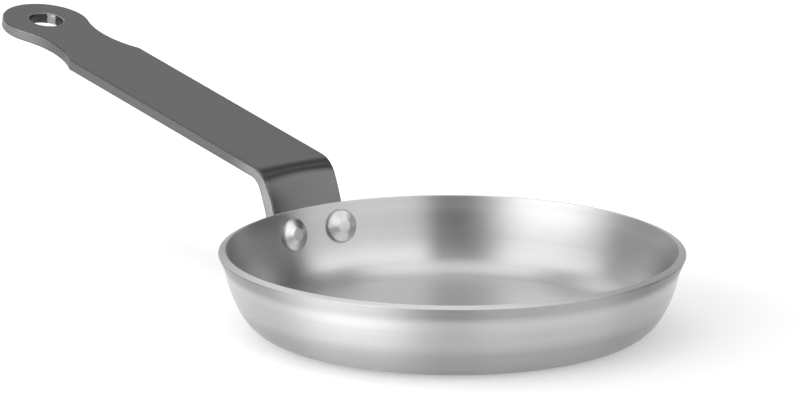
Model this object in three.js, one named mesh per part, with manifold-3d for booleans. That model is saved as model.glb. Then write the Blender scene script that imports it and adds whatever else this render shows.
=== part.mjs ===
// Pancake pan: a pressed steel pan with a strap handle, held by two rivets.
// Millimetres, +Z up. The origin is the middle of the base's underside, on the pan's axis.
// Every piece is drawn with the handle along +X. The assembly is then turned half round,
// so that the handle runs along -X.

import * as THREE from 'three';
import { mergeVertices } from 'three/addons/utils/BufferGeometryUtils.js';
import Module from 'manifold-3d';

const { degToRad, lerp, smoothstep } = THREE.MathUtils;

// Pan: one round of sheet steel, pressed. Leans are measured from upright.
const rimDiameter = 140;              // over the lip's outer edge
const panHeight = 24.7;               // base to the top of the rim
const sheet = 2.5;                    // sheet thickness
const heelRadius = 12;                // outside, between the base and the wall
const heelLean = degToRad(33);        // wall's lean where the heel ends
const wallLean = degToRad(11.5);      // least lean, just under the lip
const flareRadius = 15;               // outside, where the wall turns out into the lip
const lipLean = degToRad(24.5);
const lipLength = 3;                  // straight part of the lip, along the sheet
const rimBreak = 0.3;                 // broken edges of the rim's cut

// Strap handle: one strip, punched flat, bent once and rolled at its foot
const stripWidth = 27.4;
const stripThickness = 3.5;
const stripEdge = 0.5;                // rounding of the strip's edges
const bendRadius = 4.4;               // inside of the bend
const bendRise = 11.6;                // sharp corner of the leg and the arm above the rim
const armRise = degToRad(10.5);       // arm above level
const armLength = 128.8;              // sharp corner to the middle of the hang hole
const neckWidth = 20.5;               // narrowest width, before the round end
const notchRadius = 29.5;             // hollows on both sides of the neck
const headDiameter = 27.7;            // round end
const hangHole = 10.4;
const hangHoleEdge = 0.8;             // rounding of the hang hole's edges
const footDrop = 8.5;                 // foot's end below the rivets
const footCorner = 6;
const rollKept = 0.2;                 // share of the way from lip to arm that keeps the foot's roll

// Rivets
const rivetSpacing = 18.5;            // between the two middles, straight across
const rivetDrop = 7;                  // middles below the top of the rim, on the inside of the wall
const shankDiameter = 5;
const headWidth = 10;                 // cone head inside the pan
const headHeight = 2.3;
const headFlat = 4;                   // flat middle of the cone head
const headSide = 1;                   // upright edge of the cone head
const headEdge = 0.4;                 // rounding between that edge and the cone
const upsetWidth = 9.5;               // domed head against the foot
const upsetHeight = 2.2;
const upsetSide = 0.5;

// Clearances between pieces that touch
const seatGap = 0.2;
const shankGap = 0.3;

// Facets
const panSegments = 80;
const heelSteps = 6;
const bellySteps = 4;
const flareSteps = 3;
const roundSegments = 24;
const cornerSteps = 4;
const legSteps = 4;
const bendSteps = 8;
const notchSteps = 8;
const headSteps = 14;
const edgeSteps = 2;
const acrossSteps = 6;

const wasm = await Module();
wasm.setup();

// Closed geometry to a solid, placed by a matrix if one is given
function toSolid(geometry, matrix = new THREE.Matrix4()) {
  const bare = geometry.clone().applyMatrix4(matrix);
  bare.deleteAttribute('normal');
  bare.deleteAttribute('uv');
  const merged = mergeVertices(bare);
  const index = merged.index.array;
  const kept = [];
  for (let i = 0; i < index.length; i += 3) {
    const [a, b, c] = index.slice(i, i + 3);
    if (a !== b && b !== c && c !== a) kept.push(a, b, c);
  }
  const vertProperties = new Float32Array(merged.attributes.position.array);
  return new wasm.Manifold(new wasm.Mesh({ numProp: 3, vertProperties, triVerts: new Uint32Array(kept) }));
}

function toMesh(name, solid, material) {
  const { vertProperties, triVerts } = solid.getMesh();
  const geometry = new THREE.BufferGeometry();
  geometry.setAttribute('position', new THREE.BufferAttribute(vertProperties, 3));
  geometry.setIndex(new THREE.BufferAttribute(triVerts, 1));
  geometry.computeVertexNormals();
  const mesh = new THREE.Mesh(geometry, material);
  mesh.name = name;
  return mesh;
}

// Round body about Z from a section that starts and ends on the axis: x is the radius, y the height
function turned(section, segments) {
  return new THREE.LatheGeometry(section, segments).rotateX(Math.PI / 2);
}

function arc(centre, radius, from, to, steps) {
  return new THREE.EllipseCurve(centre.x, centre.y, radius, radius, from, to, to < from).getPoints(steps);
}

function spread(from, to, steps) {
  return Array.from({ length: steps + 1 }, (_, i) => lerp(from, to, i / steps));
}

const outOfWall = lean => new THREE.Vector2(Math.cos(lean), -Math.sin(lean));
const upTheWall = lean => new THREE.Vector2(Math.sin(lean), Math.cos(lean));

// Pan's section. The wall is a heel arc, a long belly arc, a reverse arc and a straight lip.
// The belly takes up the height that the other stretches leave, and the base takes up the width.
const lipEdge = new THREE.Vector2(rimDiameter / 2, panHeight - sheet * Math.sin(lipLean));
const lipFoot = lipEdge.clone().addScaledVector(upTheWall(lipLean), -lipLength);
const flareCentre = lipFoot.clone().addScaledVector(outOfWall(lipLean), flareRadius);
const wallTop = flareCentre.clone().addScaledVector(outOfWall(wallLean), -flareRadius);
const heelTop = heelRadius * (1 - Math.sin(heelLean));
const bellyRadius = (wallTop.y - heelTop) / (Math.sin(heelLean) - Math.sin(wallLean));
const bellyCentre = wallTop.clone().addScaledVector(outOfWall(wallLean), -bellyRadius);
const heelCentre = bellyCentre.clone().addScaledVector(outOfWall(heelLean), bellyRadius - heelRadius);

// Points up the wall at a depth into the sheet from its outer face, from the flat base to the lip's end
function wallPoints(depth, lipExtra) {
  const heel = arc(heelCentre, heelRadius - depth, -Math.PI / 2, -heelLean, heelSteps);
  const belly = arc(bellyCentre, bellyRadius - depth, -heelLean, -wallLean, bellySteps);
  const flare = arc(flareCentre, flareRadius + depth, Math.PI - wallLean, Math.PI - lipLean, flareSteps);
  const end = lipEdge.clone().addScaledVector(outOfWall(lipLean), -depth);
  end.addScaledVector(upTheWall(lipLean), lipExtra);
  return [...heel, ...belly.slice(1), ...flare.slice(1), end];
}

// Section of the sheet. With a positive grow every face stands off by that much, for cutting seats.
function panSection(grow) {
  const outer = wallPoints(-grow, grow - rimBreak);
  const inner = wallPoints(sheet + grow, grow - rimBreak);
  const rim = [-grow + rimBreak, sheet + grow - rimBreak].map(depth => wallPoints(depth, grow).at(-1));
  const bottom = new THREE.Vector2(0, -grow);
  const floor = new THREE.Vector2(0, sheet + grow);
  return [bottom, ...outer, ...rim, ...inner.reverse(), floor];
}

// Point and lean of the wall's inner face at a height
function innerWallAt(height) {
  const points = wallPoints(sheet, 0);
  const next = points.findIndex(point => point.y > height);
  const low = points[next - 1];
  const high = points[next];
  const point = low.clone().lerp(high, (height - low.y) / (high.y - low.y));
  return { point, lean: Math.atan2(high.x - low.x, high.y - low.y) };
}

// The leg's front face lies straight up the wall: it touches the belly and the lip's edge, bar the gap
const bellyToEdge = lipEdge.clone().sub(bellyCentre);
const legLean = Math.acos(bellyRadius / bellyToEdge.length()) - Math.atan2(bellyToEdge.y, bellyToEdge.x);
const legOut = outOfWall(legLean);
const legUp = upTheWall(legLean);
const legAtLip = lipEdge.clone().addScaledVector(legOut, seatGap);

// The bend, on the strip's middle line. Lengths along the strip start where the leg's straight ends.
const bendTurn = Math.PI / 2 - legLean - armRise;
const bendMiddle = bendRadius + stripThickness / 2;
const bendTangent = (bendRadius + stripThickness) * Math.tan(bendTurn / 2);
const bendLength = bendMiddle * bendTurn;
const legLength = (panHeight + bendRise - legAtLip.y) / legUp.y - bendTangent;
const legTop = legAtLip.clone().addScaledVector(legUp, legLength);
const bendStart = legTop.clone().addScaledVector(legOut, stripThickness / 2);
const bendCentre = bendStart.clone().addScaledVector(legOut, bendMiddle);

// Point on the strip's middle line, and the direction that its front face looks
function middleLine(along) {
  const turn = THREE.MathUtils.clamp(along / bendMiddle, 0, bendTurn);
  const front = outOfWall(legLean + turn).negate();
  const past = along - turn * bendMiddle;
  const forward = upTheWall(legLean + turn);
  const point = bendCentre.clone().addScaledVector(front, bendMiddle).addScaledVector(forward, past);
  return { point, front };
}

// The foot is rolled to the wall, and the roll dies out up the leg and through the bend
function rollAt(along) {
  const risen = (along + legLength) / (legLength + bendLength);
  return 1 - smoothstep(risen, rollKept, 1);
}

// Flat blank to the formed strap: along the strip, across it, and out of its middle towards the front face
function formed(along, across, out) {
  const { point, front } = middleLine(along);
  const spot = point.clone().addScaledVector(front, out);
  const roll = rollAt(along);
  if (roll === 0) return new THREE.Vector3(spot.x, across, spot.y);
  const rollCentre = point.x - point.x / roll;
  const angle = across * roll / point.x;
  const reach = spot.x - rollCentre;
  return new THREE.Vector3(rollCentre + reach * Math.cos(angle), reach * Math.sin(angle), spot.y);
}

// Where the rivets stand on the wall, and how deep the foot's back face lies behind it
const rivetSeat = innerWallAt(panHeight - rivetDrop);
const rivetOut = outOfWall(rivetSeat.lean);
const seatToLip = legOut.dot(rivetSeat.point.clone().sub(legAtLip));
const footDepth = (stripThickness - seatToLip) / legOut.dot(rivetOut);
const rivetOnFoot = rivetSeat.point.clone().addScaledVector(rivetOut, footDepth);

// Stations along the strip
const rivetAlong = legUp.dot(rivetOnFoot.clone().sub(bendStart));
const footEnd = rivetAlong - footDrop;
const headAlong = bendLength - bendTangent + armLength;
const notchMiddle = neckWidth / 2 + notchRadius;
const neckToHead = Math.sqrt((notchRadius + headDiameter / 2) ** 2 - notchMiddle ** 2);
const neckAlong = headAlong - neckToHead;

// One edge of the flat blank, foot to tip, drawn in by an inset: x along the strip, y from its middle line
function blankEdge(inset) {
  const half = stripWidth / 2;
  const cornerCentre = new THREE.Vector2(footEnd + footCorner, half - footCorner);
  const notchCentre = new THREE.Vector2(neckAlong, notchMiddle);
  const headCentre = new THREE.Vector2(headAlong, 0);
  const straight = [...spread(-legLength, 0, legSteps), ...spread(0, bendLength, bendSteps).slice(1)];
  const notchStart = Math.acos((notchMiddle - half + inset) / (notchRadius + inset));
  const notchEnd = Math.atan2(neckToHead, notchMiddle);
  const down = -Math.PI / 2;
  const headStart = Math.PI / 2 + notchEnd;
  const tip = headStart / headSteps / 2;
  return [
    ...arc(cornerCentre, footCorner - inset, Math.PI, Math.PI / 2, cornerSteps),
    ...straight.map(along => new THREE.Vector2(along, half - inset)),
    ...arc(notchCentre, notchRadius + inset, down - notchStart, down + notchEnd, notchSteps),
    ...arc(headCentre, headDiameter / 2 - inset, headStart, tip, headSteps).slice(1),
  ];
}

// The strap as a closed skin of six grids: two faces, two edges, the foot's end and the tip
function strapGeometry(grow) {
  const round = stripEdge + grow;
  const layers = [];
  for (let i = 0; i <= edgeSteps; i++) {
    const turn = Math.PI / 2 * i / edgeSteps;
    const inset = round * (1 - Math.sin(turn)) - grow;
    layers.push({ edge: blankEdge(inset), out: stripThickness / 2 + grow - round * (1 - Math.cos(turn)) });
  }
  const skin = [...layers, ...layers.toReversed().map(({ edge, out }) => ({ edge, out: -out }))].reverse();
  const last = layers[0].edge.length - 1;
  const top = skin.length - 1;
  const spot = (layer, station, share) => {
    const { edge, out } = skin[layer];
    return formed(edge[station].x, edge[station].y * share, out);
  };
  const share = column => 2 * column / acrossSteps - 1;
  const positions = [];
  const addGrid = (rows, columns, at, flip) => {
    for (let r = 0; r < rows; r++) {
      for (let c = 0; c < columns; c++) {
        const near = [at(r, c), at(r + 1, c)];
        const far = [at(r, c + 1), at(r + 1, c + 1)];
        const [a, b, d, e] = flip ? [...far, ...near] : [...near, ...far];
        for (const point of [a, b, e, a, e, d]) positions.push(point.x, point.y, point.z);
      }
    }
  };
  addGrid(last, acrossSteps, (station, column) => spot(top, station, share(column)), false);
  addGrid(last, acrossSteps, (station, column) => spot(0, station, share(column)), true);
  addGrid(last, top, (station, layer) => spot(layer, station, -1), false);
  addGrid(last, top, (station, layer) => spot(layer, station, 1), true);
  addGrid(acrossSteps, top, (column, layer) => spot(layer, last, share(column)), false);
  addGrid(acrossSteps, top, (column, layer) => spot(layer, 0, share(column)), true);
  const geometry = new THREE.BufferGeometry();
  geometry.setAttribute('position', new THREE.Float32BufferAttribute(positions, 3));
  return geometry;
}

// Cutter for the hang hole, with rounded edges on both faces of the strip
function hangHoleCutter() {
  const half = stripThickness / 2;
  const radius = hangHole / 2;
  const wide = radius + hangHoleEdge;
  const middles = [-1, 1].map(face => new THREE.Vector2(wide, face * (half - hangHoleEdge)));
  const section = [
    new THREE.Vector2(0, -stripThickness),
    new THREE.Vector2(wide, -stripThickness),
    ...arc(middles[0], hangHoleEdge, Math.PI * 1.5, Math.PI, edgeSteps),
    ...arc(middles[1], hangHoleEdge, Math.PI, Math.PI / 2, edgeSteps),
    new THREE.Vector2(wide, stripThickness),
    new THREE.Vector2(0, stripThickness),
  ];
  const place = new THREE.Matrix4().makeRotationY(-armRise);
  place.setPosition(formed(headAlong, 0, 0));
  return toSolid(turned(section, roundSegments), place);
}

// A rivet's own frame: on the inside of the wall, with +Z square to it, into the pan
function rivetFrame(side) {
  const angle = side * Math.asin(rivetSpacing / 2 / rivetSeat.point.x);
  const around = new THREE.Matrix4().makeRotationZ(angle);
  const onWall = new THREE.Matrix4().makeRotationY(rivetSeat.lean - Math.PI / 2);
  onWall.setPosition(rivetSeat.point.x, 0, rivetSeat.point.y);
  return around.multiply(onWall);
}

function rivetHoleCutter(frame) {
  const radius = shankDiameter / 2 + shankGap;
  const reach = 4 * (sheet + stripThickness);
  const cutter = new THREE.CylinderGeometry(radius, radius, reach, roundSegments).rotateX(Math.PI / 2);
  return toSolid(cutter, frame);
}

// Cone head, sunk by half the sheet so that the wall can be cut from its underside
function coneHead() {
  const half = headWidth / 2;
  const slope = Math.atan2(headHeight - headSide, half - headFlat / 2);
  const shoulder = new THREE.Vector2(half - headEdge, headSide);
  const rounding = arc(shoulder, headEdge, 0, Math.PI / 2 - slope, edgeSteps);
  return turned([
    new THREE.Vector2(0, -sheet / 2),
    new THREE.Vector2(half, -sheet / 2),
    ...rounding,
    new THREE.Vector2(headFlat / 2, headHeight),
    new THREE.Vector2(0, headHeight),
  ], roundSegments);
}

// Domed head, sunk by half the strip's thickness, looking out behind the foot
function domeHead() {
  const half = upsetWidth / 2;
  const rise = upsetHeight - upsetSide;
  const radius = (half ** 2 + rise ** 2) / 2 / rise;
  const middle = new THREE.Vector2(0, upsetHeight - radius);
  const dome = arc(middle, radius, Math.acos(half / radius), Math.PI / 2, cornerSteps);
  const sunk = -stripThickness / 2;
  const section = [new THREE.Vector2(0, sunk), new THREE.Vector2(half, sunk), ...dome];
  return turned(section, roundSegments).rotateX(Math.PI).translate(0, 0, -footDepth);
}

function shank() {
  const bottom = -footDepth - upsetSide;
  const length = headSide - bottom;
  const radius = shankDiameter / 2;
  const cylinder = new THREE.CylinderGeometry(radius, radius, length, roundSegments).rotateX(Math.PI / 2);
  return cylinder.translate(0, 0, bottom + length / 2);
}

function rivet(name, frame, material) {
  const toFrame = frame.clone().invert();
  const inside = toSolid(coneHead()).subtract(toSolid(turned(panSection(seatGap), panSegments), toFrame));
  const outside = toSolid(domeHead()).subtract(toSolid(strapGeometry(seatGap), toFrame));
  const mesh = toMesh(name, inside.add(outside).add(toSolid(shank())), material);
  mesh.applyMatrix4(frame);
  return mesh;
}

const satinSteel = new THREE.MeshStandardMaterial({ color: 0xc6c6c6, roughness: 0.34, metalness: 1 });
const darkCoating = new THREE.MeshStandardMaterial({ color: 0x4a4a4a, roughness: 0.5, metalness: 0.1 });
const rivetSteel = { color: 0xd2d2d2, roughness: 0.28, metalness: 1 };

const rivetFrames = { rivet_left: rivetFrame(-1), rivet_right: rivetFrame(1) };
let panSolid = toSolid(turned(panSection(0), panSegments));
let strapSolid = toSolid(strapGeometry(0)).subtract(hangHoleCutter());
for (const frame of Object.values(rivetFrames)) {
  panSolid = panSolid.subtract(rivetHoleCutter(frame));
  strapSolid = strapSolid.subtract(rivetHoleCutter(frame));
}

const assembly = new THREE.Group();
assembly.rotation.z = Math.PI;
assembly.add(toMesh('pan_body', panSolid, satinSteel));
assembly.add(toMesh('strap_handle', strapSolid, darkCoating));
for (const [name, frame] of Object.entries(rivetFrames)) {
  assembly.add(rivet(name, frame, new THREE.MeshStandardMaterial(rivetSteel)));
}

const pancakePan = new THREE.Group();
pancakePan.add(assembly);

export default pancakePan;
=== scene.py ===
import math

import bmesh
import bpy
from mathutils import Matrix, Vector


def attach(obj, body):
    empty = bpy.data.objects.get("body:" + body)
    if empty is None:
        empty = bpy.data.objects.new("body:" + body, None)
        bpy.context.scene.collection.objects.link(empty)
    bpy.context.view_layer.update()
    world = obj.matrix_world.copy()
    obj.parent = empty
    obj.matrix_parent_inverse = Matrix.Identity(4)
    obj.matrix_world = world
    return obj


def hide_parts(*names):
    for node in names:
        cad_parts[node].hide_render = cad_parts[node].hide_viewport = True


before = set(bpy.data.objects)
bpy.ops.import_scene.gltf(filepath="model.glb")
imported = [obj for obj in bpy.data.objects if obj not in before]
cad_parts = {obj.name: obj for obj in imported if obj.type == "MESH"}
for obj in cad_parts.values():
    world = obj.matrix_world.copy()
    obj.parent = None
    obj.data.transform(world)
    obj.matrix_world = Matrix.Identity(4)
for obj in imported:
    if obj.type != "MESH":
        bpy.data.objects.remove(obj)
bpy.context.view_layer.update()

mm = 0.001
print("frame loaded:", sorted(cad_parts))


# Small helpers for nodes and meshes

def addNode(tree, kind, inputs=None, **settings):
    made = tree.nodes.new(kind)
    for name, value in settings.items():
        setattr(made, name, value)
    for name, value in (inputs or {}).items():
        socket = made.inputs[name]
        if isinstance(value, bpy.types.NodeSocket):
            tree.links.new(value, socket)
        else:
            socket.default_value = value
    return made


def mathNode(tree, operation, first, second=0.0):
    made = addNode(tree, "ShaderNodeMath", {0: first, 1: second}, operation=operation)
    return made.outputs[0]


def addSockets(tree, inOut, kinds):
    for name, kind in kinds.items():
        tree.interface.new_socket(name, in_out=inOut, socket_type="NodeSocket" + kind)


def meshObject(name, vertices, edges=(), faces=()):
    mesh = bpy.data.meshes.new(name)
    mesh.from_pydata([tuple(vertex) for vertex in vertices], edges, faces)
    made = bpy.data.objects.new(name, mesh)
    bpy.context.scene.collection.objects.link(made)
    return made


def polyline(name, points):
    edges = [(i, i + 1) for i in range(len(points) - 1)]
    return meshObject(name, [(x, 0, z) for x, z in points], edges)


# The object's modifiers become its plain mesh, with normals that keep flat faces flat
def bakeModifiers(thing):
    weighted = thing.modifiers.new("flatFaces", "WEIGHTED_NORMAL")
    weighted.keep_sharp = True
    bpy.context.view_layer.update()
    evaluated = thing.evaluated_get(bpy.context.evaluated_depsgraph_get())
    mesh = bpy.data.meshes.new_from_object(evaluated)
    thing.modifiers.clear()
    thing.data = mesh
    mesh.name = thing.name


# New slots for a baked piece; its faces all start on the first one
def setSlots(thing, materials):
    thing.data.materials.clear()
    for material in materials:
        thing.data.materials.append(material)


def arcPoints(centre, radius, start, end, steps):
    turns = [start + (end - start) * i / steps for i in range(steps + 1)]
    return [Vector((centre.x + radius * math.cos(a), centre.y + radius * math.sin(a))) for a in turns]


def outOfWall(lean):
    return Vector((math.cos(lean), -math.sin(lean)))


def upTheWall(lean):
    return Vector((math.sin(lean), math.cos(lean)))


# Pan: a pressed sheet. Leans are from upright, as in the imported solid.
panShape = {
    "rimDiameter": 140 * mm,
    "height": 24.7 * mm,
    "sheet": 2.5 * mm,
    "heelRadius": 12 * mm,
    "heelLean": math.radians(33),
    "wallLean": math.radians(11.5),
    "flareRadius": 15 * mm,
    "lipLean": math.radians(24.5),
    "lipLength": 3 * mm,
    "rimRoundOut": 0.5 * mm,
    "rimRoundIn": 0.4 * mm,
    "heelSteps": 18,
    "bellySteps": 10,
    "flareSteps": 6,
    "rimStepsOut": 8,
    "rimStepsIn": 5,
    "segments": 288,
    "mergeDistance": 0.001 * mm,
}

lipOut, lipUp = outOfWall(panShape["lipLean"]), upTheWall(panShape["lipLean"])
lipEdge = Vector((panShape["rimDiameter"] / 2, panShape["height"] - panShape["sheet"] * lipUp.x))
flareCentre = lipEdge - lipUp * panShape["lipLength"] + lipOut * panShape["flareRadius"]
wallTop = flareCentre - outOfWall(panShape["wallLean"]) * panShape["flareRadius"]
heelTop = panShape["heelRadius"] * (1 - math.sin(panShape["heelLean"]))
bellyRadius = (wallTop.y - heelTop) / (math.sin(panShape["heelLean"]) - math.sin(panShape["wallLean"]))
bellyCentre = wallTop - outOfWall(panShape["wallLean"]) * bellyRadius
heelCentre = bellyCentre + outOfWall(panShape["heelLean"]) * (bellyRadius - panShape["heelRadius"])


# Up the wall at a depth into the sheet, from the base's edge to the start of the rim's rounding
def wallPoints(depth, rimRound):
    shape = panShape
    heel = arcPoints(heelCentre, shape["heelRadius"] - depth, -math.pi / 2, -shape["heelLean"],
                     shape["heelSteps"])
    belly = arcPoints(bellyCentre, bellyRadius - depth, -shape["heelLean"], -shape["wallLean"],
                      shape["bellySteps"])
    flareTurns = math.pi - shape["wallLean"], math.pi - shape["lipLean"]
    flare = arcPoints(flareCentre, shape["flareRadius"] + depth, *flareTurns, shape["flareSteps"])
    end = lipEdge - lipOut * depth - lipUp * rimRound
    return heel + belly[1:] + flare[1:] + [end]


def panSection():
    sheet = panShape["sheet"]
    roundOut, roundIn = panShape["rimRoundOut"], panShape["rimRoundIn"]
    outerCentre = lipEdge - (lipOut + lipUp) * roundOut
    innerCentre = lipEdge - lipOut * (sheet - roundIn) - lipUp * roundIn
    lipTurn = -panShape["lipLean"]
    rim = arcPoints(outerCentre, roundOut, lipTurn, lipTurn + math.pi / 2, panShape["rimStepsOut"])[1:]
    rim += arcPoints(innerCentre, roundIn, lipTurn + math.pi / 2, lipTurn + math.pi,
                     panShape["rimStepsIn"])[:-1]
    base = [Vector((r, 0)) for r in (0, heelCentre.x / 2)]
    floor = [Vector((r, sheet)) for r in (heelCentre.x / 2, 0)]
    return base + wallPoints(0, roundOut) + rim + wallPoints(sheet, roundIn)[::-1] + floor


# A section in the XZ plane, turned round Z: one row of the grid for each of the section's points
def turnedTree():
    tree = bpy.data.node_groups.new("turnedSection", "GeometryNodeTree")
    addSockets(tree, "INPUT", {"Section": "Geometry", "Segments": "Int", "Merge Distance": "Float",
                               "Material": "Material"})
    addSockets(tree, "OUTPUT", {"Turned": "Geometry"})
    entry = tree.nodes.new("NodeGroupInput").outputs
    points = addNode(tree, "GeometryNodeAttributeDomainSize", {"Geometry": entry["Section"]},
                     component="MESH").outputs["Point Count"]
    around = mathNode(tree, "ADD", entry["Segments"], 1)
    grid = addNode(tree, "GeometryNodeMeshGrid", {"Vertices X": points, "Vertices Y": around})
    index = tree.nodes.new("GeometryNodeInputIndex").outputs[0]
    row = mathNode(tree, "FLOOR", mathNode(tree, "DIVIDE", index, around))
    column = mathNode(tree, "MODULO", index, around)
    place = tree.nodes.new("GeometryNodeInputPosition").outputs[0]
    onSection = addNode(tree, "GeometryNodeSampleIndex", data_type="FLOAT_VECTOR", domain="POINT")
    tree.links.new(entry["Section"], onSection.inputs["Geometry"])
    tree.links.new(place, onSection.inputs["Value"])
    tree.links.new(row, onSection.inputs["Index"])
    turn = mathNode(tree, "MULTIPLY", mathNode(tree, "DIVIDE", column, entry["Segments"]), 2 * math.pi)
    swung = addNode(tree, "ShaderNodeVectorRotate", {"Vector": onSection.outputs[0], "Angle": turn},
                    rotation_type="Z_AXIS")
    placed = addNode(tree, "GeometryNodeSetPosition",
                     {"Geometry": grid.outputs["Mesh"], "Position": swung.outputs[0]})
    closed = addNode(tree, "GeometryNodeMergeByDistance",
                     {"Geometry": placed.outputs[0], "Distance": entry["Merge Distance"]})
    smooth = addNode(tree, "GeometryNodeSetShadeSmooth", {"Geometry": closed.outputs[0]})
    real = addNode(tree, "GeometryNodeRealizeInstances", {"Geometry": smooth.outputs[0]})
    coloured = addNode(tree, "GeometryNodeSetMaterial",
                       {"Geometry": real.outputs[0], "Material": entry["Material"]})
    leave = tree.nodes.new("NodeGroupOutput")
    tree.links.new(coloured.outputs[0], leave.inputs["Turned"])
    return tree


def useTree(thing, tree, values):
    modifier = thing.modifiers.new(tree.name, "NODES")
    modifier.node_group = tree
    for item in tree.interface.items_tree:
        if item.in_out == "INPUT" and item.name in values:
            modifier[item.identifier] = values[item.name]


# Strap handle: one strip, punched flat, bent once and rolled at its foot
strapShape = {
    "width": 27.4 * mm,
    "thickness": 3.5 * mm,
    "edge": 0.5 * mm,
    "bendRadius": 4.4 * mm,
    "bendRise": 11.6 * mm,
    "armRise": math.radians(10.5),
    "armLength": 128.8 * mm,
    "neckWidth": 20.5 * mm,
    "notchRadius": 29.5 * mm,
    "headDiameter": 27.58 * mm,
    "hangHole": 10.4 * mm,
    "hangHoleEdge": 0.8 * mm,
    "footDrop": 8.5 * mm,
    "footCorner": 6 * mm,
    "rollKept": 0.2,
    "seatGap": 0.2 * mm,
    "acrossSteps": 24,
    "edgeSteps": 5,
    "footSteps": 12,
    "legSteps": 16,
    "bendSteps": 28,
    "armSteps": 12,
    "armStepsKept": 9,         # the neck's notch takes up the rest
    "notchSteps": 28,
    "headSteps": 56,
    "hangHoleSteps": 10,
    "hangHoleSegments": 144,
}

rivetShape = {
    "spacing": 18.5 * mm,
    "drop": 7 * mm,
    "shank": 5 * mm,
    "holeGap": 0.3 * mm,
    "headWidth": 10 * mm,
    "headHeight": 2.3 * mm,
    "headFlat": 4 * mm,
    "headSide": 0.7 * mm,
    "headEdge": 0.7 * mm,
    "flatEdge": 0.3 * mm,      # rounding between the cone and its flat
    "upsetWidth": 9.5 * mm,
    "upsetHeight": 2.2 * mm,
    "upsetSide": 0.5 * mm,
    "sunk": 0.5 * mm,          # how far the heads bed into the curved faces under them
    "segments": 64,
    "domeSteps": 14,
    "shoulderSteps": 5,
    "flatEdgeSteps": 4,
    "holeSegments": 48,
    "cutDepth": 24 * mm,       # length of the cutters that go through the wall and the foot
}

bellyToEdge = lipEdge - bellyCentre
legLean = math.acos(bellyRadius / bellyToEdge.length) - math.atan2(bellyToEdge.y, bellyToEdge.x)
legOut, legUp = outOfWall(legLean), upTheWall(legLean)
legAtLip = lipEdge + legOut * strapShape["seatGap"]
bendTurn = math.pi / 2 - legLean - strapShape["armRise"]
bendMiddle = strapShape["bendRadius"] + strapShape["thickness"] / 2
bendTangent = (strapShape["bendRadius"] + strapShape["thickness"]) * math.tan(bendTurn / 2)
bendLength = bendMiddle * bendTurn
legLength = (panShape["height"] + strapShape["bendRise"] - legAtLip.y) / legUp.y - bendTangent
bendStart = legAtLip + legUp * legLength + legOut * (strapShape["thickness"] / 2)
bendCentre = bendStart + legOut * bendMiddle


# Where a rivet stands on the inside of the wall, and the wall's lean there
def rivetSeat():
    height = panShape["height"] - rivetShape["drop"]
    points = wallPoints(panShape["sheet"], panShape["rimRoundIn"])
    low, high = next(pair for pair in zip(points, points[1:]) if pair[1].y > height)
    point = low.lerp(high, (height - low.y) / (high.y - low.y))
    return point, math.atan2(high.x - low.x, high.y - low.y)


seatPoint, seatLean = rivetSeat()
seatOut = outOfWall(seatLean)
seatTilt = seatLean - math.pi / 2
footDepth = (strapShape["thickness"] - legOut.dot(seatPoint - legAtLip)) / legOut.dot(seatOut)
rivetAlong = legUp.dot(seatPoint + seatOut * footDepth - bendStart)
rivetHalfAngle = math.asin(rivetShape["spacing"] / 2 / seatPoint.x)
footEnd = rivetAlong - strapShape["footDrop"]
headAlong = bendLength - bendTangent + strapShape["armLength"]
notchMiddle = strapShape["neckWidth"] / 2 + strapShape["notchRadius"]
neckToHead = math.sqrt((strapShape["notchRadius"] + strapShape["headDiameter"] / 2) ** 2 - notchMiddle ** 2)
handleTurn = math.pi           # the handle runs along -X


def smoothRise(value, low, high):
    share = min(max((value - low) / (high - low), 0), 1)
    return share * share * (3 - 2 * share)


# Flat blank to the formed strap: along the strip, across it, and out towards the front face
def formed(along, across, out):
    turn = min(max(along / bendMiddle, 0), bendTurn)
    front = -outOfWall(legLean + turn)
    point = bendCentre + front * bendMiddle + upTheWall(legLean + turn) * (along - turn * bendMiddle)
    spot = point + front * out
    roll = 1 - smoothRise((along + legLength) / (legLength + bendLength), strapShape["rollKept"], 1)
    if roll == 0:
        return Vector((spot.x, across, spot.y))
    rollCentre = point.x - point.x / roll
    angle = across * roll / point.x
    reach = spot.x - rollCentre
    return Vector((rollCentre + reach * math.cos(angle), reach * math.sin(angle), spot.y))


# One edge of the blank, foot to tip, drawn in by an inset
def blankEdge(inset):
    shape = strapShape
    half = shape["width"] / 2
    corner = Vector((footEnd + shape["footCorner"], half - shape["footCorner"]))
    notch = Vector((headAlong - neckToHead, notchMiddle))
    head = Vector((headAlong, 0))
    notchStart = math.acos((notchMiddle - half + inset) / (shape["notchRadius"] + inset))
    notchEnd = math.atan2(neckToHead, notchMiddle)
    down = -math.pi / 2
    headStart = math.pi / 2 + notchEnd
    tip = headStart / shape["headSteps"] / 2
    armReach = headAlong - neckToHead - bendLength
    leg = [-legLength * (1 - i / shape["legSteps"]) for i in range(shape["legSteps"])]
    bend = [bendLength * i / shape["bendSteps"] for i in range(shape["bendSteps"] + 1)]
    arm = [bendLength + armReach * i / shape["armSteps"] for i in range(1, shape["armStepsKept"] + 1)]
    edge = arcPoints(corner, shape["footCorner"] - inset, math.pi, math.pi / 2, shape["footSteps"])
    edge += [Vector((along, half - inset)) for along in leg + bend + arm]
    edge += arcPoints(notch, shape["notchRadius"] + inset, down - notchStart, down + notchEnd,
                      shape["notchSteps"])
    edge += arcPoints(head, shape["headDiameter"] / 2 - inset, headStart, tip, shape["headSteps"])[1:]
    return edge


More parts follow.
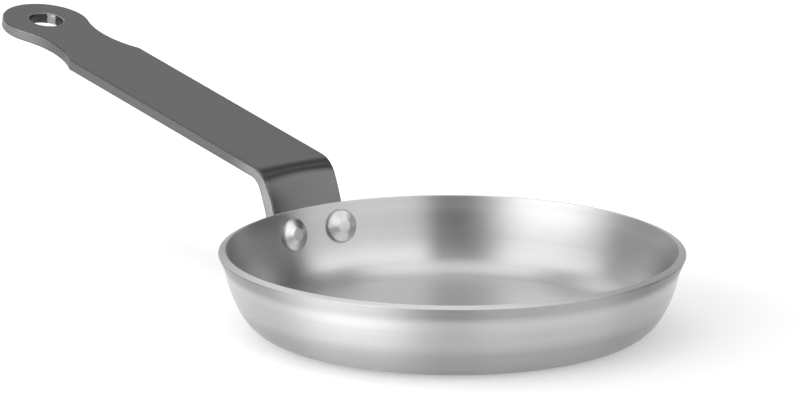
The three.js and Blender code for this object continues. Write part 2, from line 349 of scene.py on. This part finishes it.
def strapMesh():
    shape = strapShape
    layers = []
    for i in range(shape["edgeSteps"] + 1):
        turn = math.pi / 2 * i / shape["edgeSteps"]
        edge = blankEdge(shape["edge"] * (1 - math.sin(turn)))
        layers.append((edge, shape["thickness"] / 2 - shape["edge"] * (1 - math.cos(turn))))
    skin = [(edge, -out) for edge, out in layers] + layers[::-1]
    last, top, across = len(layers[0][0]) - 1, len(skin) - 1, shape["acrossSteps"]
    mesh = bmesh.new()

    def spot(layer, station, share):
        edge, out = skin[layer]
        return formed(edge[station].x, edge[station].y * share, out)

    def addGrid(rows, columns, at, flip, cutColumn=None):
        grid = [[mesh.verts.new(at(r, c)) for c in range(columns + 1)] for r in range(rows + 1)]
        for r in range(rows):
            for c in range(columns):
                ring = [grid[r][c], grid[r + 1][c], grid[r + 1][c + 1], grid[r][c + 1]]
                face = mesh.faces.new(ring[::-1] if flip else ring)
                face.material_index = int(c == cutColumn)

    def share(column):
        return 2 * column / across - 1

    addGrid(last, across, lambda station, column: spot(top, station, share(column)), False)
    addGrid(last, across, lambda station, column: spot(0, station, share(column)), True)
    cut = shape["edgeSteps"]
    addGrid(last, top, lambda station, layer: spot(layer, station, -1), False, cut)
    addGrid(last, top, lambda station, layer: spot(layer, station, 1), True, cut)
    addGrid(across, top, lambda column, layer: spot(layer, last, share(column)), False, cut)
    addGrid(across, top, lambda column, layer: spot(layer, 0, share(column)), True, cut)
    bmesh.ops.remove_doubles(mesh, verts=mesh.verts, dist=panShape["mergeDistance"])
    bmesh.ops.rotate(mesh, verts=mesh.verts, matrix=Matrix.Rotation(handleTurn, 3, "Z"))
    for face in mesh.faces:
        face.smooth = True
    return mesh


def rivetMatrix(side):
    around = Matrix.Rotation(handleTurn + side * rivetHalfAngle, 4, "Z")
    stand = Matrix.Rotation(seatTilt, 4, "Y")
    stand.translation = (seatPoint.x, 0, seatPoint.y)
    return around @ stand


# Plain round cutters for the rivet holes, and a waisted one for the hang hole
def holeCutter(name, withHangHole):
    mesh = bmesh.new()
    radius = rivetShape["shank"] / 2 + rivetShape["holeGap"]
    for side in (-1, 1):
        bmesh.ops.create_cone(mesh, cap_ends=True, segments=rivetShape["holeSegments"],
                              radius1=radius, radius2=radius, depth=rivetShape["cutDepth"],
                              matrix=rivetMatrix(side))
    if withHangHole:
        half = strapShape["thickness"] / 2
        edge = strapShape["hangHoleEdge"]
        wide = strapShape["hangHole"] / 2 + edge
        steps = strapShape["hangHoleSteps"]
        lower = arcPoints(Vector((wide, edge - half)), edge, math.pi * 1.5, math.pi, steps)
        upper = arcPoints(Vector((wide, half - edge)), edge, math.pi, math.pi / 2, steps)
        bottom = [Vector((0, -2 * half)), Vector((wide, -2 * half))]
        top = [Vector((wide, 2 * half)), Vector((0, 2 * half))]
        section = bottom + lower + upper + top
        first = [mesh.verts.new((r, 0, z)) for r, z in section]
        edges = [mesh.edges.new(pair) for pair in zip(first, first[1:])]
        bmesh.ops.spin(mesh, geom=first + edges, axis=(0, 0, 1), angle=2 * math.pi,
                       steps=strapShape["hangHoleSegments"], use_merge=True)
        bmesh.ops.remove_doubles(mesh, verts=mesh.verts, dist=panShape["mergeDistance"])
        spun = [vertex for vertex in mesh.verts if vertex.co.length < 2 * wide]
        place = Matrix.Rotation(-strapShape["armRise"], 4, "Y")
        place.translation = formed(headAlong, 0, 0)
        bmesh.ops.transform(mesh, verts=spun, matrix=Matrix.Rotation(handleTurn, 4, "Z") @ place)
    bmesh.ops.recalc_face_normals(mesh, faces=mesh.faces)
    cutter = meshObject(name, [])
    mesh.to_mesh(cutter.data)
    mesh.free()
    cutter.hide_render = True
    return cutter


def cutHoles(thing, withHangHole=False):
    cutter = holeCutter(thing.name + ".holes", withHangHole)
    cut = thing.modifiers.new("holes", "BOOLEAN")
    cut.object = cutter
    cut.solver = "EXACT"
    return cutter


def rivetSection():
    shape = rivetShape
    half, shank, upset = shape["headWidth"] / 2, shape["shank"] / 2, shape["upsetWidth"] / 2
    slope = math.atan2(shape["headHeight"] - shape["headSide"], half - shape["headFlat"] / 2)
    rise = shape["upsetHeight"] - shape["upsetSide"]
    domeRadius = (upset ** 2 + rise ** 2) / 2 / rise
    domeCentre = Vector((0, domeRadius - shape["upsetHeight"] - footDepth))
    domeEdge = math.acos(upset / domeRadius)
    dome = arcPoints(domeCentre, domeRadius, -math.pi / 2, -domeEdge, shape["domeSteps"])
    shoulder = arcPoints(Vector((half - shape["headEdge"], shape["headSide"])), shape["headEdge"],
                         0, math.pi / 2 - slope, shape["shoulderSteps"])
    tangent = shape["flatEdge"] * math.tan(slope / 2)
    flatMiddle = Vector((shape["headFlat"] / 2 - tangent, shape["headHeight"] - shape["flatEdge"]))
    flatEdge = arcPoints(flatMiddle, shape["flatEdge"], math.pi / 2 - slope, math.pi / 2,
                         shape["flatEdgeSteps"])
    behind = shape["sunk"] - footDepth
    return dome + [
        Vector((upset, behind)),
        Vector((shank, behind)),
        Vector((shank, -shape["sunk"])),
        Vector((half, -shape["sunk"])),
    ] + shoulder + flatEdge + [Vector((0, shape["headHeight"]))]


# One rivet turned from its section, stood on the wall and repeated on both sides of the handle
def rivetTree(turned):
    tree = bpy.data.node_groups.new("rivetPair", "GeometryNodeTree")
    addSockets(tree, "INPUT", {"Section": "Geometry", "Segments": "Int", "Merge Distance": "Float",
                               "Seat": "Vector", "Tilt": "Float", "Handle Turn": "Float",
                               "Half Angle": "Float", "Material": "Material"})
    addSockets(tree, "OUTPUT", {"Rivets": "Geometry"})
    entry = tree.nodes.new("NodeGroupInput").outputs
    one = tree.nodes.new("GeometryNodeGroup")
    one.node_tree = turned
    for name in ("Section", "Segments", "Merge Distance", "Material"):
        tree.links.new(entry[name], one.inputs[name])
    tilt = addNode(tree, "ShaderNodeCombineXYZ", {"Y": entry["Tilt"]}).outputs[0]
    stood = addNode(tree, "GeometryNodeTransform",
                    {"Geometry": one.outputs[0], "Translation": entry["Seat"], "Rotation": tilt})
    pair = addNode(tree, "GeometryNodeMeshLine", {"Count": 2, "Offset": (0, 0, 0)})
    index = tree.nodes.new("GeometryNodeInputIndex").outputs[0]
    side = mathNode(tree, "SUBTRACT", mathNode(tree, "MULTIPLY", index, 2), 1)
    swing = mathNode(tree, "MULTIPLY", side, entry["Half Angle"])
    swing = mathNode(tree, "ADD", swing, entry["Handle Turn"])
    facing = addNode(tree, "ShaderNodeCombineXYZ", {"Z": swing}).outputs[0]
    spread = addNode(tree, "GeometryNodeInstanceOnPoints",
                     {"Points": pair.outputs[0], "Instance": stood.outputs[0], "Rotation": facing})
    real = addNode(tree, "GeometryNodeRealizeInstances", {"Geometry": spread.outputs[0]})
    coloured = addNode(tree, "GeometryNodeSetMaterial",
                       {"Geometry": real.outputs[0], "Material": entry["Material"]})
    leave = tree.nodes.new("NodeGroupOutput")
    tree.links.new(coloured.outputs[0], leave.inputs["Rivets"])
    return tree


# Finishes

surfaceLife = {
    "grainDetail": 2.0,
    "smudgeDetail": 4.0,
    "smudgeRoughness": 0.62,
    "bumpDepth": 0.05 * mm,
}


# Fine grain and soft smudges, shared by the three finishes
def surfaceLifeGroup():
    group = bpy.data.node_groups.new("surfaceLife", "ShaderNodeTree")
    addSockets(group, "INPUT", {"Grain Scale": "Float", "Smudge Scale": "Float"})
    addSockets(group, "OUTPUT", {"Grain": "Float", "Smudge": "Float"})
    entry = group.nodes.new("NodeGroupInput").outputs
    place = group.nodes.new("ShaderNodeTexCoord").outputs["Object"]
    grain = addNode(group, "ShaderNodeTexNoise", {
        "Vector": place, "Scale": entry["Grain Scale"], "Detail": surfaceLife["grainDetail"]})
    smudge = addNode(group, "ShaderNodeTexNoise", {
        "Vector": place, "Scale": entry["Smudge Scale"], "Detail": surfaceLife["smudgeDetail"],
        "Roughness": surfaceLife["smudgeRoughness"]})
    leave = group.nodes.new("NodeGroupOutput")
    group.links.new(grain.outputs[0], leave.inputs["Grain"])
    group.links.new(smudge.outputs[0], leave.inputs["Smudge"])
    return group


def newMaterial(name):
    material = bpy.data.materials.new(name)
    material.use_nodes = True
    tree = material.node_tree
    return material, tree, tree.nodes["Principled BSDF"].inputs


def placeLife(tree, group, grainScale, smudgeScale):
    made = tree.nodes.new("ShaderNodeGroup")
    made.node_tree = group
    made.inputs["Grain Scale"].default_value = grainScale
    made.inputs["Smudge Scale"].default_value = smudgeScale
    return made.outputs


def mapRange(tree, value, low, high):
    made = addNode(tree, "ShaderNodeMapRange", {"Value": value, "To Min": low, "To Max": high})
    return made.outputs[0]


def greyFrom(tree, value):
    return addNode(tree, "ShaderNodeCombineColor", {0: value, 1: value, 2: value}).outputs[0]


def addBump(tree, shader, height, strength):
    bump = addNode(tree, "ShaderNodeBump", {
        "Height": height, "Strength": strength, "Distance": surfaceLife["bumpDepth"]})
    tree.links.new(bump.outputs[0], shader["Normal"])


panFinish = {
    # heelTone and lipTone scale the tone by height: below one it is painted shade, above one a painted
    # highlight
    "outside": {"tone": (0.51, 0.61), "roughness": (0.31, 0.37), "anisotropy": 1.0, "bands": 0.09,
                "heelTone": 0.78, "lipTone": 0.94, "lipRough": 1.6},
    "inside": {"tone": (0.515, 0.615), "roughness": (0.39, 0.45), "anisotropy": 0.98, "bands": 0.05,
               "heelTone": 1.1, "heelRough": 0.8},
    # the level faces take a lighter tone than the walls, standing in for light on the pan's floor: painted
    # light
    "flat": {"tone": (0.63, 0.73), "roughness": (0.29, 0.35), "anisotropy": 0.0, "bands": 0.04},
    "rim": {"tone": (0.58, 0.68), "roughness": (0.42, 0.5), "anisotropy": 0.7, "bands": 0.03},
    "heel": (15.5 * mm, 7 * mm),       # heights between which the brushing changes towards the heel, and the tone: painted shade outside, a painted highlight inside
    "lip": (18.5 * mm, 21.5 * mm),     # and towards the lip, where the darker tone outside is painted shade
    "levelFrom": 0.9999,       # upright part of a face's normal where the base and the floor are level
    "rimFrom": 0.5,            # the same on the rim's cut edge
    "rings": {"perMetre": 420, "detail": 7.0, "roughness": 0.7},
    "broadRings": {"perMetre": 160, "detail": 1.0, "roughness": 0.5},
    "ringDrift": 5,
    "ringBump": 0.12,
    "shineTurn": 0.25,         # quarter turn that spreads the shine across the rings
    "lifeScales": (900, 30),   # grain and smudges to the metre
    "smudge": 0.03,            # how far smudges shift the roughness
}


# Satin steel, brushed round the axis: rings that drift slowly as they go round
def panSteel(life, name, tone, roughness, anisotropy, bands,
             heelTone=1.0, lipTone=1.0, heelRough=1.0, lipRough=1.0):
    material, tree, shader = newMaterial(name)
    place = tree.nodes.new("ShaderNodeTexCoord").outputs["Object"]
    split = addNode(tree, "ShaderNodeSeparateXYZ", {0: place}).outputs
    radius = mathNode(tree, "SQRT", mathNode(
        tree, "ADD", mathNode(tree, "MULTIPLY", split["X"], split["X"]),
        mathNode(tree, "MULTIPLY", split["Y"], split["Y"])))
    upSection = mathNode(tree, "ADD", radius, split["Z"])
    drift = [mathNode(tree, "MULTIPLY", split[axis], panFinish["ringDrift"]) for axis in ("X", "Y")]

    def ringNoise(perMetre, detail, roughness):
        height = mathNode(tree, "MULTIPLY", upSection, perMetre)
        space = addNode(tree, "ShaderNodeCombineXYZ", {"X": drift[0], "Y": drift[1], "Z": height})
        noise = addNode(tree, "ShaderNodeTexNoise", {
            "Vector": space.outputs[0], "Scale": 1.0, "Detail": detail, "Roughness": roughness})
        return noise.outputs[0]

    rings = ringNoise(**panFinish["rings"])
    broad = ringNoise(**panFinish["broadRings"])
    smudge = placeLife(tree, life, *panFinish["lifeScales"])["Smudge"]

    def towards(zone, value, share):
        start, end = panFinish[zone]
        limits = {"From Min": start, "From Max": end, "To Min": 1.0, "To Max": share}
        kept = addNode(tree, "ShaderNodeMapRange", {"Value": split["Z"], **limits},
                       interpolation_type="SMOOTHSTEP")
        return mathNode(tree, "MULTIPLY", value, kept.outputs[0])

    shade = mathNode(tree, "ADD", mapRange(tree, rings, *tone), mapRange(tree, broad, -bands, bands))
    # Tone darker towards the outside heel and lip, painted shade, and lighter at the inside heel, a painted
    # highlight
    shade = towards("lip", towards("heel", shade, heelTone), lipTone)
    tree.links.new(greyFrom(tree, shade), shader["Base Color"])
    smudged = mapRange(tree, smudge, -panFinish["smudge"], panFinish["smudge"])
    rough = mathNode(tree, "ADD", mapRange(tree, rings, *roughness), smudged)
    rough = towards("lip", towards("heel", rough, heelRough), lipRough)
    tree.links.new(rough, shader["Roughness"])
    shader["Metallic"].default_value = 1.0
    shader["Anisotropic"].default_value = anisotropy
    shader["Anisotropic Rotation"].default_value = panFinish["shineTurn"]
    around = addNode(tree, "ShaderNodeTangent", direction_type="RADIAL", axis="Z")
    tree.links.new(around.outputs[0], shader["Tangent"])
    addBump(tree, shader, rings, panFinish["ringBump"])
    return material


strapFinish = {
    "face": {"tone": (0.104, 0.12), "roughness": (0.24, 0.3)},
    "punched": {"tone": (0.125, 0.145), "roughness": (0.46, 0.52), "wearSheenAmount": 0.24},
    # the hang hole's wall, darker than the coating: painted shade
    "bore": {"tone": (0.045, 0.055), "roughness": (0.3, 0.36)},
    # lighter tone for the hang hole's patch and ring: a painted highlight on the patch, wear and painted
    # sheen on the ring
    "wearAndSheen": {"tone": (0.3, 0.4), "roughness": (0.36, 0.44)},
    "metallic": 0.85,
    "peelBump": 0.02,
    "lifeScales": (2200, 45),
    "legFrom": -90 * mm,       # the punched edges' lighter tone, wear and painted sheen, grows from here to the foot
    "legTo": -80 * mm,
    "eyeFrom": -184 * mm,      # and from here to the round end
    "eyeTo": -206 * mm,
    "eyeShare": 0.5,
    "ringFrom": 0.8,           # ring of wear and painted sheen at the hang hole: how far its faces look along the hole
    "ringTo": 0.99,
    "paintedSheenFrom": math.radians(107),   # bearing round the hang hole where its wall has a painted highlight
    "paintedSheenTo": math.radians(137),
}


# Dark half-matt coating over the strip; on the punched edges rougher, and lighter at both ends: wear and
# painted sheen
def strapCoating(life, name, tone, roughness, wearSheenAmount=0.0):
    material, tree, shader = newMaterial(name)
    grain = placeLife(tree, life, *strapFinish["lifeScales"])
    shade = mapRange(tree, grain["Smudge"], *tone)
    # Lighter towards the foot and the round end: wear and painted sheen
    if wearSheenAmount:
        place = tree.nodes.new("ShaderNodeTexCoord").outputs["Object"]
        along = addNode(tree, "ShaderNodeSeparateXYZ", {0: place}).outputs["X"]
        ends = []
        for end in ("leg", "eye"):
            limits = {"From Min": strapFinish[end + "From"], "From Max": strapFinish[end + "To"]}
            ends.append(addNode(tree, "ShaderNodeMapRange", {"Value": along, **limits}).outputs[0])
        eye = mathNode(tree, "MULTIPLY", ends[1], strapFinish["eyeShare"])
        wearAndSheen = mathNode(tree, "MULTIPLY", mathNode(tree, "ADD", ends[0], eye), grain["Smudge"])
        shade = mathNode(tree, "ADD", shade, mathNode(tree, "MULTIPLY", wearAndSheen, wearSheenAmount))
    tree.links.new(greyFrom(tree, shade), shader["Base Color"])
    tree.links.new(mapRange(tree, grain["Smudge"], *roughness), shader["Roughness"])
    shader["Metallic"].default_value = strapFinish["metallic"]
    addBump(tree, shader, grain["Grain"], strapFinish["peelBump"])
    return material


rivetFinish = {
    "head": {"tone": (0.5, 0.6), "roughness": (0.28, 0.36)},
    # the flat's near-white tone is a painted highlight
    "flat": {"tone": (0.9, 0.98), "roughness": (0.42, 0.5)},
    "flatFrom": 0.995,         # how far a face looks along the rivet where the pressed flat is
    "grainBump": 0.06,
    "lifeScales": (2600, 260),
}


# Pressed steel; on the small flat that the tool bore on, a much lighter tone that is a painted highlight
def rivetSteel(life, name, tone, roughness):
    material, tree, shader = newMaterial(name)
    grain = placeLife(tree, life, *rivetFinish["lifeScales"])
    tree.links.new(greyFrom(tree, mapRange(tree, grain["Smudge"], *tone)), shader["Base Color"])
    tree.links.new(mapRange(tree, grain["Smudge"], *roughness), shader["Roughness"])
    shader["Metallic"].default_value = 1.0
    addBump(tree, shader, grain["Grain"], rivetFinish["grainBump"])
    return material


# Building the pieces

def panSide(face):
    if abs(face.normal.z) > panFinish["levelFrom"]:
        return "flat"
    if face.center.z > lipEdge.y - panShape["rimRoundOut"] and face.normal.z > panFinish["rimFrom"]:
        return "rim"
    inwards = face.normal.x * face.center.x + face.normal.y * face.center.y < 0
    return "inside" if inwards else "outside"


life = surfaceLifeGroup()
turned = turnedTree()

panSides = ("outside", "inside", "flat", "rim")
panSteels = [panSteel(life, "pan" + name.title(), **panFinish[name]) for name in panSides]
pan = polyline("pan", panSection())
useTree(pan, turned, {
    "Segments": panShape["segments"],
    "Merge Distance": panShape["mergeDistance"],
    "Material": panSteels[0],
})
panCutter = cutHoles(pan)
bakeModifiers(pan)
setSlots(pan, panSteels)
for face in pan.data.polygons:
    face.material_index = panSides.index(panSide(face))
print("pan turned:", len(pan.data.polygons), "faces")

strap = meshObject("strap", [])
strapForm = strapMesh()
strapForm.to_mesh(strap.data)
strapForm.free()
strapSides = ("face", "punched", "bore", "wearAndSheen")
for name in strapSides:
    strap.data.materials.append(strapCoating(life, "strap" + name.title(), **strapFinish[name]))
strapCutter = cutHoles(strap, withHangHole=True)
bakeModifiers(strap)
toHandle = Matrix.Rotation(handleTurn, 3, "Z")
holeMiddle = toHandle @ formed(headAlong, 0, 0)
holeAxis = (toHandle @ formed(headAlong, 0, mm) - holeMiddle).normalized()
holeReach = strapShape["hangHole"] / 2 + strapShape["hangHoleEdge"]
# Round the hang hole: its wall darker, painted shade; a light patch on one side, a painted reflection; a
# lighter ring of wear and painted sheen
for face in strap.data.polygons:
    fromHole = face.center - holeMiddle
    looks = abs(face.normal.dot(holeAxis))
    if fromHole.length > holeReach or looks > strapFinish["ringTo"]:
        continue
    bearing = math.atan2(fromHole.y, fromHole.x)
    onPatch = strapFinish["paintedSheenFrom"] < bearing < strapFinish["paintedSheenTo"]
    onRing = looks > strapFinish["ringFrom"]
    face.material_index = strapSides.index("wearAndSheen" if onPatch or onRing else "bore")
print("strap formed:", len(strap.data.polygons), "faces")

rivetSides = ("head", "flat")
rivetSteels = [rivetSteel(life, "rivet" + name.title(), **rivetFinish[name]) for name in rivetSides]
rivets = polyline("rivets", rivetSection())
useTree(rivets, rivetTree(turned), {
    "Segments": rivetShape["segments"],
    "Merge Distance": panShape["mergeDistance"],
    "Seat": (seatPoint.x, 0, seatPoint.y),
    "Tilt": seatTilt,
    "Handle Turn": handleTurn,
    "Half Angle": rivetHalfAngle,
    "Material": rivetSteels[0],
})
bakeModifiers(rivets)
setSlots(rivets, rivetSteels)
rivetAxes = [rivetMatrix(side).to_3x3() @ Vector((0, 0, 1)) for side in (-1, 1)]
# faces on the flat take the near-white steel: a painted highlight
for face in rivets.data.polygons:
    onFlat = any(face.normal.dot(axis) > rivetFinish["flatFrom"] for axis in rivetAxes)
    face.material_index = rivetSides.index("flat" if onFlat else "head")
print("rivets set:", len(rivets.data.polygons), "faces")

for cutter in (panCutter, strapCutter):
    bpy.data.objects.remove(cutter)

for piece, nodes, slot in (
    (pan, ["pan_body"], "pan_steel"),
    (strap, ["strap_handle"], "handle_coating"),
    (rivets, ["rivet_left", "rivet_right"], "rivet_steel"),
):
    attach(piece, "root")
    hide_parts(*nodes)


# Studio: pale floor in a dim room, with soft boxes round it and overhead

photoView = {
    "azimuth": math.radians(50.32),
    "elevation": math.radians(14.62),
    "distance": 2.492,
    "targetRight": -15.65 * mm,
    "targetUp": 36.86 * mm,
    "roll": math.radians(0.174),
    "lens": 375.0,
    "sensor": 36.0,
    "clipStart": 0.05,
    "clipEnd": 50,
}
toCamera = Vector((math.sin(photoView["azimuth"]), -math.cos(photoView["azimuth"]), 0))
cameraRight = Vector((-toCamera.y, toCamera.x, 0))


def photoCamera():
    view = photoView
    data = bpy.data.cameras.new("photoCamera")
    data.lens = view["lens"]
    data.sensor_width = view["sensor"]
    data.clip_start = view["clipStart"]
    data.clip_end = view["clipEnd"]
    camera = bpy.data.objects.new("photoCamera", data)
    place = toCamera * math.cos(view["elevation"]) + Vector((0, 0, math.sin(view["elevation"])))
    camera.location = place * view["distance"]
    target = cameraRight * view["targetRight"] + Vector((0, 0, view["targetUp"]))
    aim = (target - camera.location).to_track_quat("-Z", "Y").to_matrix()
    camera.rotation_euler = (aim @ Matrix.Rotation(view["roll"], 3, "Z")).to_euler()
    bpy.context.scene.collection.objects.link(camera)
    bpy.context.scene.camera = camera


# The floor's glow is least round a spot right of the pan's foot and grows away from it: painted shadow at
# the foot and right, painted light to the left
floorFinish = {
    "colour": 0.72,
    "lift": (0.3, 0.5),                # glow at the pan's foot and away from it
    "liftFrom": 70 * mm,
    "liftTo": 115 * mm,
    "liftRight": 30 * mm,              # the least glow lies this far to the camera's right
    "radius": 9.0,
    "segments": 96,
    "below": 0.05 * mm,
}


def studioFloor():
    mesh = bmesh.new()
    bmesh.ops.create_circle(mesh, cap_ends=True, segments=floorFinish["segments"],
                            radius=floorFinish["radius"])
    floor = meshObject("studioFloor", [])
    bmesh.ops.translate(mesh, verts=mesh.verts, vec=(0, 0, -floorFinish["below"]))
    mesh.to_mesh(floor.data)
    mesh.free()
    material = bpy.data.materials.new("paleFloor")
    material.use_nodes = True
    tree = material.node_tree
    tree.nodes.clear()
    colour = (floorFinish["colour"],) * 3 + (1,)
    matt = addNode(tree, "ShaderNodeBsdfDiffuse", {"Color": colour}).outputs[0]
    path = tree.nodes.new("ShaderNodeLightPath").outputs
    seen = mathNode(tree, "MAXIMUM", path["Is Camera Ray"], path["Is Glossy Ray"])
    seen = mathNode(tree, "MAXIMUM", seen, path["Is Transmission Ray"])
    place = tree.nodes.new("ShaderNodeTexCoord").outputs["Object"]
    # uneven glow: painted shadow near the foot and right, painted light to the left
    middle = cameraRight * floorFinish["liftRight"]
    away = addNode(tree, "ShaderNodeVectorMath", {0: place, 1: middle}, operation="DISTANCE")
    limits = {"From Min": floorFinish["liftFrom"], "From Max": floorFinish["liftTo"]}
    limits.update({"To Min": floorFinish["lift"][0], "To Max": floorFinish["lift"][1]})
    glow = addNode(tree, "ShaderNodeMapRange", {"Value": away.outputs["Value"], **limits},
                   interpolation_type="SMOOTHSTEP")
    strength = mathNode(tree, "MULTIPLY", seen, glow.outputs[0])
    lift = addNode(tree, "ShaderNodeEmission", {"Strength": strength})
    both = addNode(tree, "ShaderNodeAddShader", {0: matt, 1: lift.outputs[0]}).outputs[0]
    leave = tree.nodes.new("ShaderNodeOutputMaterial")
    tree.links.new(both, leave.inputs["Surface"])
    floor.data.materials.append(material)


# Soft boxes, in degrees: bearings run to the left of the camera, heights up from the floor
boxSizes = ("Bearing", "Half Width", "Side Blur", "Low", "High", "Edge Blur", "Level")
softBoxes = {
    "leftBox": (50, 28, 20, -5, 9, 5, 14.0),
    "leftTop": (63, 36, 15, 9, 57, 6, 1.5),
    "leftSide": (122, 34, 15, -5, 50, 8, 0.34),
    "rightBox": (-54, 40, 7, 8.5, 44, 6, 1.95),
    "rightTop": (-50, 36, 7, 46, 62, 6, 0.6),
    "rightStrip": (-116, 5, 4, 36, 60, 6, 1.1),
    "backWall": (180, 45, 14, -5, 32, 8, 0.48),
    "backTop": (165, 45, 12, 32, 52, 8, 1.04),
    "overhead": (0, 200, 1, 61, 100, 6, 1.42),
}
roomFill = 0.04


# Brightness of one soft-edged box in the room, seen along a bearing and a height
def softBoxGroup():
    group = bpy.data.node_groups.new("softBox", "ShaderNodeTree")
    addSockets(group, "INPUT", dict.fromkeys(("Ray Bearing", "Ray Height") + boxSizes, "Float"))
    addSockets(group, "OUTPUT", {"Glow": "Float"})
    entry = group.nodes.new("NodeGroupInput").outputs

    def past(value, edge, blur):
        start = mathNode(group, "SUBTRACT", edge, blur)
        end = mathNode(group, "ADD", edge, blur)
        return addNode(group, "ShaderNodeMapRange", {"Value": value, "From Min": start, "From Max": end},
                       interpolation_type="SMOOTHSTEP").outputs[0]

    away = mathNode(group, "SUBTRACT", entry["Ray Bearing"], entry["Bearing"])
    turn = addNode(group, "ShaderNodeMath", {0: away, 1: 180.0, 2: -180.0}, operation="WRAP").outputs[0]
    beside = past(mathNode(group, "ABSOLUTE", turn), entry["Half Width"], entry["Side Blur"])
    above = past(entry["Ray Height"], entry["High"], entry["Edge Blur"])
    overFoot = past(entry["Ray Height"], entry["Low"], entry["Edge Blur"])
    glow = mathNode(group, "MULTIPLY", entry["Level"], overFoot)
    for beyond in (beside, above):
        glow = mathNode(group, "MULTIPLY", glow, mathNode(group, "SUBTRACT", 1.0, beyond))
    leave = group.nodes.new("NodeGroupOutput")
    group.links.new(glow, leave.inputs["Glow"])
    return group


def studioRoom():
    world = bpy.data.worlds.new("studioRoom")
    world.use_nodes = True
    bpy.context.scene.world = world
    tree = world.node_tree
    ray = tree.nodes.new("ShaderNodeTexCoord").outputs["Generated"]

    def rayAlong(axis):
        made = addNode(tree, "ShaderNodeVectorMath", {0: ray, 1: axis}, operation="DOT_PRODUCT")
        return made.outputs["Value"]

    up = addNode(tree, "ShaderNodeSeparateXYZ", {0: ray}).outputs["Z"]
    bearing = mathNode(tree, "ARCTAN2", rayAlong(-cameraRight), rayAlong(toCamera))
    bearing = mathNode(tree, "DEGREES", bearing)
    height = mathNode(tree, "DEGREES", mathNode(tree, "ARCSINE", up))
    group = softBoxGroup()
    total = roomFill
    for name, sizes in softBoxes.items():
        box = addNode(tree, "ShaderNodeGroup", node_tree=group, label=name)
        tree.links.new(bearing, box.inputs["Ray Bearing"])
        tree.links.new(height, box.inputs["Ray Height"])
        for size, value in zip(boxSizes, sizes):
            box.inputs[size].default_value = value
        total = mathNode(tree, "ADD", box.outputs["Glow"], total)
    tree.links.new(total, tree.nodes["Background"].inputs["Strength"])
    tree.nodes["Background"].inputs["Color"].default_value = (1, 1, 1, 1)


photoCamera()
studioFloor()
studioRoom()
bpy.context.scene.view_settings.view_transform = "Standard"
print("studio ready")
